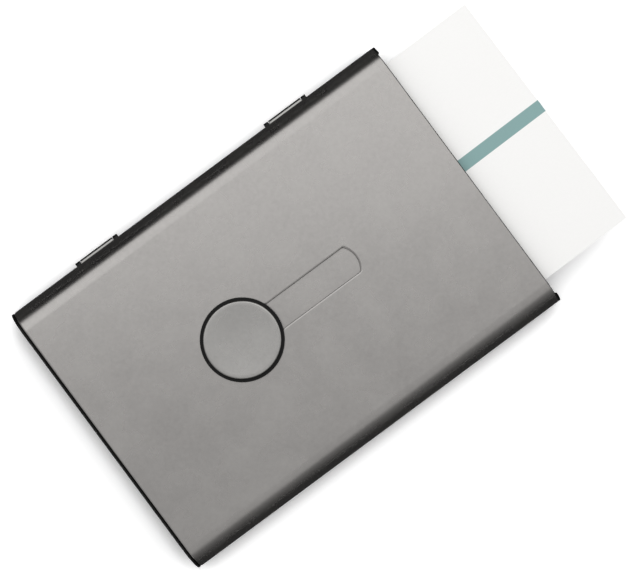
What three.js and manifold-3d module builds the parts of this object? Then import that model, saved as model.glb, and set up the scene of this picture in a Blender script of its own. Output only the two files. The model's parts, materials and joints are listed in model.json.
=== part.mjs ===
// Pop up card holder: a flat metal case for business cards.
// A round thumb button on the front slides forward and pushes the top card out of the open end.
// Millimetres, +Z up, with the case lying on its back cover.
// +X is the open end, where the cards come out, and +Y is the hinged long side.
// The origin is in the middle of the back cover's flat outer face.

import * as THREE from 'three';
import { mergeVertices } from 'three/addons/utils/BufferGeometryUtils.js';
import Module from 'manifold-3d';

const wasm = await Module();
wasm.setup();

// Cards
const cardLength = 90;
const cardWidth = 55.6;
const cardThickness = 0.4;
const cardSpacing = 0.1;
const cardSideClearance = 0.7;
const cardEndClearance = 0.2;
const restingStackCards = 4;
const poppedCardStandOut = 21.2;
const poppedCardTurn = THREE.MathUtils.degToRad(0.68);
const poppedCardShift = 0.15;

// Sheet of the two covers, and the straight part of their side walls
const sheetThickness = 0.6;
const bendRadius = 5;
const frontWallHeight = 0.1;
const backWallHeight = 0.1;

// Gaps: between fastened pieces, between sliding pieces, and between the two halves of the case
const fitGap = 0.05;
const runningGap = 0.25;
const closingGap = 0.3;
const cutOverrun = 1;

// Plastic card frame
const railWidth = 3.6;
const endWallThickness = 2;
const endWallStandOut = 0.45;
const railStandOut = 0.5;
const mouthStandOut = 0.1;
const railEndWidth = 2.1;
const railEndRounding = 0.4;
const railBottom = 2.5;
const channelFloorThickness = 0.5;
const lipThickness = 0.8;
const mouthDepth = 1.1;

// Slot in the front cover, with ends that are shallow arcs
const slotWidth = 6.4;
const slotRestGap = 0.45;
const slotReserve = 0.05;
const slotEndRadiusShare = 0.76;
const slotCornerRadiusShare = 0.125;

// Slider strip under the slot
const stripSideLap = 2.3;
const stripThickness = 0.4;
const stripEndLap = 1;
const stripCornerRadius = 1;

// Pusher hook, at the rear end of the strip
const hookInset = 1.5;
const hookThickness = 0.6;
const hookFootLength = 6;
const hookFootThickness = 0.4;
const hookPocketDepth = 0.4;
const hookTipClearance = 0.05;
const pusherRivetRadius = 0.6;
const pusherRivetHeadRadius = 1.1;
const pusherRivetHeadHeight = 0.25;
const pusherRivetSpacing = 4.4;

// Thumb button: an oblong neck in the slot, a black base, and a smaller metal disc, slightly dished
const buttonDiameter = 17.5;
const neckInset = 1.95;
const buttonLift = 0.2;
const buttonBaseThickness = 0.5;
const buttonBaseChamfer = 0.15;
const discInset = 0.7;
const discThickness = 0.8;
const discEdgeRadius = 0.3;
const discDishDepth = 0.15;
const discRecessInset = 1.6;
const discRecessDepth = 0.3;
const buttonRivetRadius = 0.7;
const buttonRivetHeadRadius = 1.2;
const buttonRivetHeadHeight = 0.2;
const buttonRivetInset = 2.8;

// Case hinges, on the +Y side
const hingeSpacing = 48.9;
const hingeLength = 10.7;
const endKnuckleLength = 1.1;
const knuckleRadius = 0.7;
const knuckleStandOut = 0.8;
const knuckleGap = 0.15;
const knuckleClearance = 0.2;
const pinRadius = 0.3;
const pinClearance = 0.1;
const leafWrap = THREE.MathUtils.degToRad(40);
const frontWallGap = 0.8;
const backWallGap = 0.3;

// Folded tabs of the front cover, which hold the frame
const tabWidth = 5;
const tabReach = 1.6;
const tabSpacing = 74;

// Back cover and its spring plate
const nailNotchWidth = 12;
const nailNotchDepth = 0.9;
const plateInset = 1;
const plateThickness = 0.8;
const plateCornerRadius = 2.5;
const plateToCardGap = 0.1;
const plateWindowLength = 20;
const plateWindowWidth = 9;
const plateWindowSpacing = 46;
const springLength = 66;
const springWidth = 5;
const springThickness = 0.3;
const springSpacing = 30;
const springFootLength = 6;
const springCrownLength = 12;
const springRivetRadius = 0.8;
const springRivetHeadRadius = 1.5;
const springRivetHeadHeight = 0.4;

// Places that follow from the sizes above
const quarterTurn = Math.PI / 2;
const bodyLength = endWallThickness + cardEndClearance + cardLength + cardEndClearance + lipThickness;
const bodyWidth = cardWidth + 2 * (cardSideClearance + railWidth + fitGap + sheetThickness);
const backWallEdge = bendRadius + backWallHeight;
const hingeHeight = backWallEdge + backWallGap;
const frontWallEdge = hingeHeight + frontWallGap;
const bodyThickness = frontWallEdge + frontWallHeight + bendRadius;
const closedEnd = -bodyLength / 2;
const openEnd = bodyLength / 2;
const coverClosedEnd = closedEnd + endWallStandOut;
const halfWidth = bodyWidth / 2;
const innerHalfWidth = halfWidth - sheetThickness;
const innerBendRadius = bendRadius - sheetThickness;
const bendCentreY = halfWidth - bendRadius;
const frontBendCentreZ = bodyThickness - bendRadius;
const frontInnerFace = bodyThickness - sheetThickness;
const backInnerFace = sheetThickness;
const hingeY = halfWidth + knuckleStandOut - knuckleRadius;
const leafThickness = knuckleRadius - pinRadius - pinClearance;

const chamberHalfWidth = cardWidth / 2 + cardSideClearance;
const endWallInnerFace = closedEnd + endWallThickness;
const stripTop = frontInnerFace - runningGap;
const stripBottom = stripTop - stripThickness;
const channelFloor = stripBottom - runningGap;
const webBottom = channelFloor - channelFloorThickness;

const stripWidth = slotWidth + 2 * stripSideLap;
const hookWidth = stripWidth - 2 * hookInset;
const hookFront = endWallInnerFace;
const hookRear = hookFront - hookThickness;
const hookFootFront = hookRear + hookFootLength;
const hookFootTop = stripBottom - fitGap;
const hookFootBottom = hookFootTop - hookFootThickness;
const pusherRivetX = hookFootFront - hookFootLength / 2;

const cardRear = hookFront + cardEndClearance;
const cardFront = cardRear + cardLength;
const topCardTop = webBottom - runningGap;
const cardPitch = cardThickness + cardSpacing;
const nextCardBottom = topCardTop - cardPitch - cardThickness;
const stackBottom = nextCardBottom - restingStackCards * cardPitch;
const lipInnerFace = openEnd - lipThickness;
const lipTop = webBottom - mouthDepth - runningGap;
const railEndInner = halfWidth - railEndWidth;

const slideTravel = poppedCardStandOut + openEnd - cardFront;
const neckLength = buttonDiameter - 2 * neckInset;
const slotLength = slotRestGap + neckLength + slideTravel + slotReserve;
const slotHalfLength = slotLength / 2;
const buttonX = slotRestGap + neckLength / 2 - slotHalfLength;
const buttonRivetSpacing = neckLength - 2 * buttonRivetInset;
const buttonBottom = bodyThickness + buttonLift;
const buttonFloor = buttonBottom + buttonBaseThickness;
const discRadius = buttonDiameter / 2 - discInset;
const discBottom = buttonFloor + fitGap;
const discTop = discBottom + discThickness;
const stripRear = hookRear;
const stripFront = slotHalfLength + stripEndLap;

const plateLength = cardLength - 2 * plateInset;
const plateWidth = cardWidth - 2 * plateInset;
const plateTop = stackBottom - plateToCardGap;
const plateBottom = plateTop - plateThickness;
const springBottom = backInnerFace + fitGap;
const springTop = plateBottom - fitGap;

// Materials, in the photographed colours
const finishes = {
  satinMetal: { color: 0x96938e, roughness: 0.36, metalness: 0.9 },
  polishedSteel: { color: 0xb9b7b3, roughness: 0.2, metalness: 1 },
  springSteel: { color: 0x8b8a88, roughness: 0.35, metalness: 1 },
  blackenedSteel: { color: 0x1c1c1c, roughness: 0.45, metalness: 0.6 },
  blackPlastic: { color: 0x141414, roughness: 0.45, metalness: 0 },
  cardPaper: { color: 0xf5f4f2, roughness: 0.8, metalness: 0 },
};

function finish(name) {
  return new THREE.MeshStandardMaterial(finishes[name]);
}

function piece(group, name, solid, finishName) {
  const mesh = new THREE.Mesh(geometryOf(solid), finish(finishName));
  mesh.name = name;
  group.add(mesh);
  return mesh;
}

// Solids: a geometry becomes a closed solid that can be joined and cut, and back
function solidOf(geometry) {
  const plain = geometry.clone();
  plain.deleteAttribute('normal');
  plain.deleteAttribute('uv');
  const merged = mergeVertices(plain);
  const corners = merged.index.array;
  const triangles = [];
  for (let i = 0; i < corners.length; i += 3) {
    const [a, b, c] = corners.slice(i, i + 3);
    if (a !== b && b !== c && c !== a) {
      triangles.push(a, b, c);
    }
  }
  return new wasm.Manifold(new wasm.Mesh({
    numProp: 3,
    vertProperties: new Float32Array(merged.attributes.position.array),
    triVerts: new Uint32Array(triangles),
  }));
}

function geometryOf(solid) {
  const mesh = solid.getMesh();
  const geometry = new THREE.BufferGeometry();
  geometry.setAttribute('position', new THREE.BufferAttribute(mesh.vertProperties, 3));
  geometry.setIndex(new THREE.BufferAttribute(mesh.triVerts, 1));
  geometry.computeVertexNormals();
  return geometry;
}

function join(solids) {
  return solids.reduce((sum, solid) => sum.add(solid));
}

function cut(solid, cutters) {
  return cutters.reduce((rest, cutter) => rest.subtract(cutter), solid);
}

function block(x, y, z) {
  const box = new THREE.BoxGeometry(x[1] - x[0], y[1] - y[0], z[1] - z[0]);
  box.translate((x[0] + x[1]) / 2, (y[0] + y[1]) / 2, (z[0] + z[1]) / 2);
  return solidOf(box);
}

function around(middle, size) {
  return [middle - size / 2, middle + size / 2];
}

// Outlines: points of an arc, and of a closed shape with rounded corners
function arc(centreX, centreY, radius, from, to, steps) {
  const points = [];
  for (let i = 0; i <= steps; i += 1) {
    const angle = from + ((to - from) * i) / steps;
    points.push(new THREE.Vector2(centreX + radius * Math.cos(angle), centreY + radius * Math.sin(angle)));
  }
  return points;
}

function roundedOutline(x, y, radius, steps) {
  const corners = [
    [x[1] - radius, y[1] - radius],
    [x[0] + radius, y[1] - radius],
    [x[0] + radius, y[0] + radius],
    [x[1] - radius, y[0] + radius],
  ];
  return corners.flatMap(([cx, cy], i) => arc(cx, cy, radius, i * quarterTurn, (i + 1) * quarterTurn, steps));
}

function oblongOutline(middleX, length, width) {
  const endRadius = slotEndRadiusShare * width;
  const cornerRadius = slotCornerRadiusShare * width;
  const cornerY = width / 2 - cornerRadius;
  const reach = Math.sqrt((endRadius - cornerRadius) ** 2 - cornerY ** 2);
  const endCentre = length / 2 - endRadius;
  const turn = Math.atan2(cornerY, reach);
  const half = [
    ...arc(endCentre, 0, endRadius, 0, turn, 4),
    ...arc(endCentre + reach, cornerY, cornerRadius, turn, quarterTurn, 3).slice(1),
  ];
  const upper = [...half, ...half.map((p) => new THREE.Vector2(-p.x, p.y)).reverse()];
  const lower = upper.slice(1, -1).map((p) => new THREE.Vector2(p.x, -p.y)).reverse();
  return [...upper, ...lower].map((p) => new THREE.Vector2(p.x + middleX, p.y));
}

// An outline in X and Y, raised along Z
function raised(outline, z) {
  const shape = new THREE.Shape(outline);
  const geometry = new THREE.ExtrudeGeometry(shape, { depth: z[1] - z[0], bevelEnabled: false });
  geometry.translate(0, 0, z[0]);
  return solidOf(geometry);
}

// An outline in Y and Z, drawn along X
function alongX(outline, x) {
  const shape = new THREE.Shape(outline);
  const geometry = new THREE.ExtrudeGeometry(shape, { depth: x[1] - x[0], bevelEnabled: false });
  const turn = new THREE.Matrix4().makeBasis(
    new THREE.Vector3(0, 1, 0),
    new THREE.Vector3(0, 0, 1),
    new THREE.Vector3(1, 0, 0),
  );
  geometry.applyMatrix4(turn);
  geometry.translate(x[0], 0, 0);
  return solidOf(geometry);
}

// An outline in X and Z, drawn along Y
function alongY(outline, y) {
  const shape = new THREE.Shape(outline);
  const geometry = new THREE.ExtrudeGeometry(shape, { depth: y[1] - y[0], bevelEnabled: false });
  geometry.rotateX(quarterTurn);
  geometry.translate(0, y[1], 0);
  return solidOf(geometry);
}

function pinAlongX(radius, x, y, z, sides) {
  const geometry = new THREE.CylinderGeometry(radius, radius, x[1] - x[0], sides);
  geometry.rotateZ(quarterTurn);
  geometry.translate((x[0] + x[1]) / 2, y, z);
  return solidOf(geometry);
}

function pinAlongZ(radius, x, y, z, sides) {
  const geometry = new THREE.CylinderGeometry(radius, radius, z[1] - z[0], sides);
  geometry.rotateX(quarterTurn);
  geometry.translate(x, y, (z[0] + z[1]) / 2);
  return solidOf(geometry);
}

// A profile of [radius, height] pairs, turned about an upright axis
function turned(profile, x, y, sides) {
  const points = profile.map(([radius, height]) => new THREE.Vector2(radius, height));
  const geometry = new THREE.LatheGeometry(points, sides);
  geometry.rotateX(quarterTurn);
  geometry.translate(x, y, 0);
  return solidOf(geometry);
}

// Covers: a sheet bent down, or up, along both long sides
function coverOutline(flatZ, edgeZ) {
  const side = Math.sign(edgeZ - flatZ);
  const bendZ = flatZ + side * bendRadius;
  const flatAngle = -side * quarterTurn;
  const outer = [
    new THREE.Vector2(halfWidth, edgeZ),
    ...arc(bendCentreY, bendZ, bendRadius, 0, flatAngle, 10),
    ...arc(-bendCentreY, bendZ, bendRadius, flatAngle, 2 * flatAngle, 10),
    new THREE.Vector2(-halfWidth, edgeZ),
  ];
  const inner = [
    new THREE.Vector2(-innerHalfWidth, edgeZ),
    ...arc(-bendCentreY, bendZ, innerBendRadius, 2 * flatAngle, flatAngle, 10),
    ...arc(bendCentreY, bendZ, innerBendRadius, flatAngle, 0, 10),
    new THREE.Vector2(innerHalfWidth, edgeZ),
  ];
  return [...outer, ...inner];
}

const hingePlaces = around(0, hingeSpacing);
const tabPlaces = around(0, tabSpacing);
const springPlaces = around(0, springSpacing);
const springRivetX = springFootLength / 2 - springLength / 2;

// Room in a wall for the knuckles of both hinges
function knuckleNotches(z) {
  return hingePlaces.map((x) => block(
    around(x, hingeLength + 2 * knuckleClearance),
    [innerHalfWidth - cutOverrun, halfWidth + cutOverrun],
    z,
  ));
}

function frontCover() {
  const sheet = alongX(coverOutline(bodyThickness, frontWallEdge), [coverClosedEnd, openEnd]);
  const slot = raised(
    oblongOutline(0, slotLength, slotWidth),
    [frontInnerFace - cutOverrun, bodyThickness + cutOverrun],
  );
  const tabs = tabPlaces.flatMap((x) => [-1, 1].map((side) => {
    const root = side * (halfWidth - sheetThickness / 2);
    const tip = side * (innerHalfWidth - tabReach);
    const y = [Math.min(root, tip), Math.max(root, tip)];
    return block(around(x, tabWidth), y, [frontWallEdge, frontWallEdge + sheetThickness]);
  }));
  const notches = knuckleNotches([hingeHeight, hingeHeight + knuckleRadius + knuckleClearance]);
  return cut(join([sheet, ...tabs]), [slot, ...notches]);
}

function backCover() {
  const sheet = alongX(coverOutline(0, backWallEdge), [coverClosedEnd, openEnd]);
  const notches = knuckleNotches([hingeHeight - knuckleRadius - knuckleClearance, hingeHeight]);
  const notchRadius = (nailNotchWidth ** 2 / 4 + nailNotchDepth ** 2) / (2 * nailNotchDepth);
  const nailNotch = alongY(
    arc(0, backWallEdge + notchRadius - nailNotchDepth, notchRadius, 0, 4 * quarterTurn, 96).slice(1),
    [-halfWidth - cutOverrun, -innerHalfWidth + cutOverrun],
  );
  const rivetHoles = springPlaces.map((y) => pinAlongZ(
    springRivetRadius + fitGap, springRivetX, y, [-cutOverrun, backInnerFace + cutOverrun], 16,
  ));
  return cut(sheet, [...notches, nailNotch, ...rivetHoles]);
}

// Card frame: side rails, the closed end's wall, a web over the cards and a lip at the open end
function cardFrame() {
  const frontRadius = innerBendRadius - fitGap;
  const outline = roundedOutline(
    [fitGap - innerHalfWidth, innerHalfWidth - fitGap],
    [backInnerFace + closingGap, frontInnerFace - fitGap],
    frontRadius,
    10,
  );
  const blank = join([alongX(outline, [closedEnd, openEnd + railStandOut]), ...endCaps()]);
  const everyX = [closedEnd - cutOverrun, openEnd + railStandOut + cutOverrun];
  const pastOpenEnd = openEnd + railStandOut + cutOverrun;
  const chamberY = [-chamberHalfWidth, chamberHalfWidth];
  const below = -cutOverrun;
  const above = bodyThickness + cutOverrun;

  const chamber = block([endWallInnerFace, lipInnerFace], chamberY, [below, webBottom]);
  const mouth = block([lipInnerFace - cutOverrun, pastOpenEnd], chamberY, [lipTop, webBottom]);
  const betweenRailEnds = block(
    [openEnd + mouthStandOut, pastOpenEnd], [-railEndInner, railEndInner], [below, above],
  );
  const underRails = block([endWallInnerFace, pastOpenEnd], [-bodyWidth, bodyWidth], [below, railBottom]);

  // The lower half steps in, clear of the back cover's walls
  const rebates = [-1, 1].map((side) => {
    const outer = side * (halfWidth + cutOverrun);
    const face = side * (innerHalfWidth - closingGap);
    return block(everyX, [Math.min(outer, face), Math.max(outer, face)], [below, hingeHeight]);
  });

  // Channel for the slider strip, and the slot through which the hook reaches the cards
  const channelEnd = stripFront + slideTravel + closingGap;
  const channel = block(
    [hookRear - hookPocketDepth, channelEnd],
    around(0, stripWidth + 2 * runningGap),
    [channelFloor, above],
  );
  const hookSlot = block(
    [endWallInnerFace - cutOverrun / 2, hookFootFront + slideTravel + closingGap],
    around(0, hookWidth + 2 * closingGap),
    [webBottom - cutOverrun, above],
  );
  const hookPocket = block(
    [hookRear - hookPocketDepth, endWallInnerFace + cutOverrun],
    around(0, hookWidth + 2 * closingGap),
    [nextCardBottom - closingGap, above],
  );

  // Pockets beside the hinges and slots for the cover's tabs
  const pocketFloor = bendCentreY + (innerBendRadius - leafThickness) * Math.cos(leafWrap) - closingGap;
  const hingePockets = hingePlaces.map((x) => block(
    around(x, hingeLength + 2 * closingGap),
    [pocketFloor, halfWidth + cutOverrun],
    [below, frontBendCentreZ + innerBendRadius * Math.sin(leafWrap) + closingGap],
  ));
  const tabSlots = tabPlaces.flatMap((x) => [-1, 1].map((side) => {
    const outer = side * (halfWidth + cutOverrun);
    const floor = side * (innerHalfWidth - tabReach - fitGap);
    return block(
      around(x, tabWidth + 2 * closingGap),
      [Math.min(outer, floor), Math.max(outer, floor)],
      [frontWallEdge - fitGap, frontWallEdge + sheetThickness + fitGap],
    );
  }));

  const roundings = [-1, 1].map((side) => railEndCutter(side, below, above));
  return cut(blank, [
    chamber, mouth, betweenRailEnds, underRails, ...rebates,
    channel, hookSlot, hookPocket, ...hingePockets, ...tabSlots, ...roundings,
  ]);
}

// Above the hinges, both ends of the frame cover the ends of the front sheet, flush with its outer face
function endCaps() {
  const outline = roundedOutline([-halfWidth, halfWidth], [0, bodyThickness], bendRadius, 10);
  const places = [
    [closedEnd, coverClosedEnd - fitGap],
    [openEnd + fitGap, openEnd + railStandOut],
  ];
  return places.map((x) => {
    const lowerHalf = block(
      [x[0] - cutOverrun, x[1] + cutOverrun], [-bodyWidth, bodyWidth], [-cutOverrun, hingeHeight],
    );
    return cut(alongX(outline, x), [lowerHalf]);
  });
}

// What rounds off the inner corner of a rail's end
function railEndCutter(side, below, above) {
  const tip = openEnd + railStandOut;
  const curve = arc(
    tip - railEndRounding, side * (railEndInner + railEndRounding), railEndRounding,
    0, -side * quarterTurn, 6,
  );
  const corner = [
    new THREE.Vector2(tip - railEndRounding, side * (railEndInner - cutOverrun)),
    new THREE.Vector2(tip + cutOverrun, side * (railEndInner - cutOverrun)),
    new THREE.Vector2(tip + cutOverrun, side * (railEndInner + railEndRounding)),
  ];
  return raised([...corner, ...curve], [below, above]);
}

// Hinge leaves: a strip that follows the cover's inner face, a bridge out between the two walls,
// and knuckles round the pin
function leafOutline(bendZ, side) {
  const outerRadius = innerBendRadius - fitGap;
  const innerRadius = outerRadius - leafThickness;
  return [
    new THREE.Vector2(bendCentreY + outerRadius, hingeHeight),
    ...arc(bendCentreY, bendZ, outerRadius, 0, side * leafWrap, 6),
    ...arc(bendCentreY, bendZ, innerRadius, side * leafWrap, 0, 6),
    new THREE.Vector2(bendCentreY + innerRadius, hingeHeight),
  ];
}

const middleKnuckleLength = hingeLength - 2 * (endKnuckleLength + knuckleGap);
const endKnuckleReach = (hingeLength - endKnuckleLength) / 2;

function knuckle(x, length) {
  return pinAlongX(knuckleRadius, around(x, length), hingeY, hingeHeight, 20);
}

// side is 1 for the front leaf, whose bridge lies above the pin's middle, and -1 for the rear leaf
function knuckleBridge(x, length, side) {
  const far = hingeHeight + side * leafThickness;
  return block(
    around(x, length),
    [innerHalfWidth - fitGap - leafThickness, hingeY],
    [Math.min(hingeHeight, far), Math.max(hingeHeight, far)],
  );
}

function hingeBore(x) {
  const ends = around(x, hingeLength + 2 * cutOverrun);
  return pinAlongX(pinRadius + pinClearance, ends, hingeY, hingeHeight, 16);
}

function frontHingeLeaf(x) {
  const strip = alongX(leafOutline(frontBendCentreZ, 1), around(x, middleKnuckleLength));
  const bridge = knuckleBridge(x, middleKnuckleLength, 1);
  return cut(join([knuckle(x, middleKnuckleLength), bridge, strip]), [hingeBore(x)]);
}

function rearHingeLeaf(x) {
  const strip = alongX(leafOutline(bendRadius, -1), around(x, hingeLength));
  const middleRoom = block(
    around(x, middleKnuckleLength + 2 * knuckleGap),
    [bendCentreY, halfWidth],
    [hingeHeight - knuckleRadius - knuckleClearance, hingeHeight + knuckleRadius],
  );
  const ends = [x - endKnuckleReach, x + endKnuckleReach];
  const endKnuckles = ends.flatMap((end) => [
    knuckle(end, endKnuckleLength),
    knuckleBridge(end, endKnuckleLength, -1),
  ]);
  return cut(join([cut(strip, [middleRoom]), ...endKnuckles]), [hingeBore(x)]);
}

function hingePin(x) {
  return pinAlongX(pinRadius, around(x, hingeLength), hingeY, hingeHeight, 16);
}

// Thumb slide
const buttonRivetPlaces = around(buttonX, buttonRivetSpacing);

const pusherRivetPlaces = around(0, pusherRivetSpacing);

function buttonRivetHoles() {
  const z = [stripBottom - cutOverrun, discTop];
  return buttonRivetPlaces.map((x) => pinAlongZ(buttonRivetRadius + fitGap, x, 0, z, 16));
}

function pusherRivetHoles() {
  const z = [hookFootBottom - cutOverrun, stripTop + cutOverrun];
  return pusherRivetPlaces.map((y) => pinAlongZ(pusherRivetRadius + fitGap, pusherRivetX, y, z, 16));
}

function sliderStrip() {
  const outline = roundedOutline([stripRear, stripFront], around(0, stripWidth), stripCornerRadius, 4);
  return cut(raised(outline, [stripBottom, stripTop]), [...buttonRivetHoles(), ...pusherRivetHoles()]);
}

function buttonNeck() {
  const outline = oblongOutline(buttonX, neckLength, slotWidth - 2 * runningGap);
  return cut(raised(outline, [stripTop + fitGap, buttonBottom - fitGap]), buttonRivetHoles());
}

function buttonBase() {
  const radius = buttonDiameter / 2;
  const profile = [
    [0, buttonBottom],
    [radius - buttonBaseChamfer, buttonBottom],
    [radius, buttonBottom + buttonBaseChamfer],
    [radius, buttonFloor - buttonBaseChamfer],
    [radius - buttonBaseChamfer, buttonFloor],
    [0, buttonFloor],
  ];
  return cut(turned(profile, buttonX, 0, 48), buttonRivetHoles());
}

// The disc: hollow underneath for the rivet heads, rounded at the edge and dished on top
function buttonDisc() {
  const recessRadius = discRadius - discRecessInset;
  const recessTop = discBottom + discRecessDepth;
  const dishRadius = discRadius - discEdgeRadius;
  const curveRadius = (dishRadius ** 2 + discDishDepth ** 2) / (2 * discDishDepth);
  const dishSteps = 5;
  const dish = [];
  for (let i = dishSteps - 1; i >= 0; i -= 1) {
    const radius = (dishRadius * i) / dishSteps;
    const sag = curveRadius - Math.sqrt(curveRadius ** 2 - radius ** 2);
    dish.push([radius, discTop - discDishDepth + sag]);
  }
  const edge = arc(dishRadius, discTop - discEdgeRadius, discEdgeRadius, 0, quarterTurn, 5);
  const profile = [
    [0, recessTop],
    [recessRadius, recessTop],
    [recessRadius, discBottom],
    [discRadius, discBottom],
    ...edge.map((point) => [point.x, point.y]),
    ...dish,
  ];
  return turned(profile, buttonX, 0, 48);
}

function buttonRivets() {
  const head = [buttonFloor + fitGap, buttonFloor + fitGap + buttonRivetHeadHeight];
  return buttonRivetPlaces.map((x) => join([
    pinAlongZ(buttonRivetRadius, x, 0, [stripBottom, head[1]], 16),
    pinAlongZ(buttonRivetHeadRadius, x, 0, head, 16),
  ]));
}

function pusherHook() {
  const tip = nextCardBottom - hookTipClearance;
  const outline = [
    new THREE.Vector2(hookRear, tip),
    new THREE.Vector2(hookFront, tip),
    new THREE.Vector2(hookFront, hookFootBottom),
    new THREE.Vector2(hookFootFront, hookFootBottom),
    new THREE.Vector2(hookFootFront, hookFootTop),
    new THREE.Vector2(hookRear, hookFootTop),
  ];
  return cut(alongY(outline, around(0, hookWidth)), pusherRivetHoles());
}

function pusherRivets() {
  const headTop = hookFootBottom - fitGap;
  const head = [headTop - pusherRivetHeadHeight, headTop];
  return pusherRivetPlaces.map((y) => join([
    pinAlongZ(pusherRivetRadius, pusherRivetX, y, [head[0], stripTop], 16),
    pinAlongZ(pusherRivetHeadRadius, pusherRivetX, y, head, 16),
  ]));
}

// Spring plate and its two bowed leaf springs
function springPlate() {
  const x = around((cardRear + cardFront) / 2, plateLength);
  const outline = roundedOutline(x, around(0, plateWidth), plateCornerRadius, 5);
  const windows = [-1, 1].flatMap((end) => [-1, 1].map((side) => block(
    around((cardRear + cardFront) / 2 + (end * plateWindowSpacing) / 2, plateWindowLength),
    around(0, plateWindowWidth).map((y) => y + (side * springSpacing) / 2),
    [plateBottom - cutOverrun, plateTop + cutOverrun],
  )));
  return cut(raised(outline, [plateBottom, plateTop]), windows);
}

function leafSpring(y) {
  const rise = springTop - springThickness - springBottom;
  const bowEnd = springLength / 2 - springFootLength;
  const bowStart = springCrownLength / 2;
  const bowSteps = 12;
  const half = [];
  for (let i = 0; i <= bowSteps; i += 1) {
    const along = i / bowSteps;
    const fall = (1 - Math.cos(Math.PI * along)) / 2;
    half.push([bowStart + (bowEnd - bowStart) * along, springBottom + rise * (1 - fall)]);
  }
  half.push([springLength / 2, springBottom]);
  const under = [...half.map(([x, z]) => [-x, z]).reverse(), ...half];
  const over = under.map(([x, z]) => [x, z + springThickness]).reverse();
  const outline = [...under, ...over].map(([x, z]) => new THREE.Vector2(x, z));
  const rivetHole = pinAlongZ(
    springRivetRadius + fitGap, springRivetX, y, [springBottom - cutOverrun, springTop], 16,
  );
  return cut(alongY(outline, around(y, springWidth)), [rivetHole]);
}

function springRivet(y) {
  const headBottom = springBottom + springThickness + fitGap;
  const head = [headBottom, headBottom + springRivetHeadHeight];
  return join([
    pinAlongZ(springRivetRadius, springRivetX, y, [0, head[1]], 16),
    pinAlongZ(springRivetHeadRadius, springRivetX, y, head, 16),
  ]);
}

// Cards
function card(middleX, topZ) {
  return block(around(middleX, cardLength), around(0, cardWidth), [topZ - cardThickness, topZ]);
}

const holder = new THREE.Group();

const backCase = new THREE.Group();
const springPlateGroup = new THREE.Group();
const frontCase = new THREE.Group();
const thumbSlide = new THREE.Group();
frontCase.add(thumbSlide);
backCase.add(springPlateGroup);
holder.add(backCase, frontCase);

piece(backCase, 'back_cover', backCover(), 'satinMetal');
springPlaces.forEach((y, i) => {
  piece(backCase, `leaf_spring_${i + 1}`, leafSpring(y), 'springSteel');
  piece(backCase, `spring_rivet_${i + 1}`, springRivet(y), 'polishedSteel');
});
hingePlaces.forEach((x, i) => {
  piece(backCase, `rear_hinge_leaf_${i + 1}`, rearHingeLeaf(x), 'blackenedSteel');
  piece(backCase, `hinge_pin_${i + 1}`, hingePin(x), 'polishedSteel');
  piece(frontCase, `front_hinge_leaf_${i + 1}`, frontHingeLeaf(x), 'polishedSteel');
});
piece(springPlateGroup, 'spring_plate', springPlate(), 'springSteel');

piece(frontCase, 'front_cover', frontCover(), 'satinMetal');
piece(frontCase, 'card_frame', cardFrame(), 'blackPlastic');

piece(thumbSlide, 'slider_strip', sliderStrip(), 'satinMetal');
piece(thumbSlide, 'button_neck', buttonNeck(), 'blackPlastic');
piece(thumbSlide, 'button_base', buttonBase(), 'blackPlastic');
piece(thumbSlide, 'button_disc', buttonDisc(), 'satinMetal');
piece(thumbSlide, 'pusher_hook', pusherHook(), 'springSteel');
buttonRivets().forEach((rivet, i) => {
  piece(thumbSlide, `button_rivet_${i + 1}`, rivet, 'polishedSteel');
});
pusherRivets().forEach((rivet, i) => {
  piece(thumbSlide, `pusher_rivet_${i + 1}`, rivet, 'polishedSteel');
});

const cardMiddle = (cardRear + cardFront) / 2;
for (let level = 0; level < restingStackCards; level += 1) {
  const top = topCardTop - (level + 2) * cardPitch;
  piece(frontCase, `stack_card_${level + 1}`, card(cardMiddle, top), 'cardPaper');
}
piece(frontCase, 'next_card', card(cardMiddle, topCardTop - cardPitch), 'cardPaper');

// The popped card stands out of the open end and lies a little askew
const poppedCard = piece(frontCase, 'popped_card', card(0, topCardTop), 'cardPaper');
poppedCard.position.set(openEnd + poppedCardStandOut - cardLength / 2, poppedCardShift, 0);
poppedCard.rotation.z = poppedCardTurn;

export default holder;
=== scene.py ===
# %% [markdown]
# A pop up card holder: a flat metal case for business cards. A round thumb button runs in a slot on the
# front and slides the top card out of the open short end. This lesson dresses a finished CAD model of it.
# The CAD model gives the sizes and places, so it is loaded first and never moved. Some of its pieces keep
# their shape and get softer edges, and others are modelled anew, finer, in the same place. Blender works in
# metres here, and the case is measured in millimetres, so one small unit keeps the numbers readable.

# %% Load the frame
import json
import math

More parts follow.
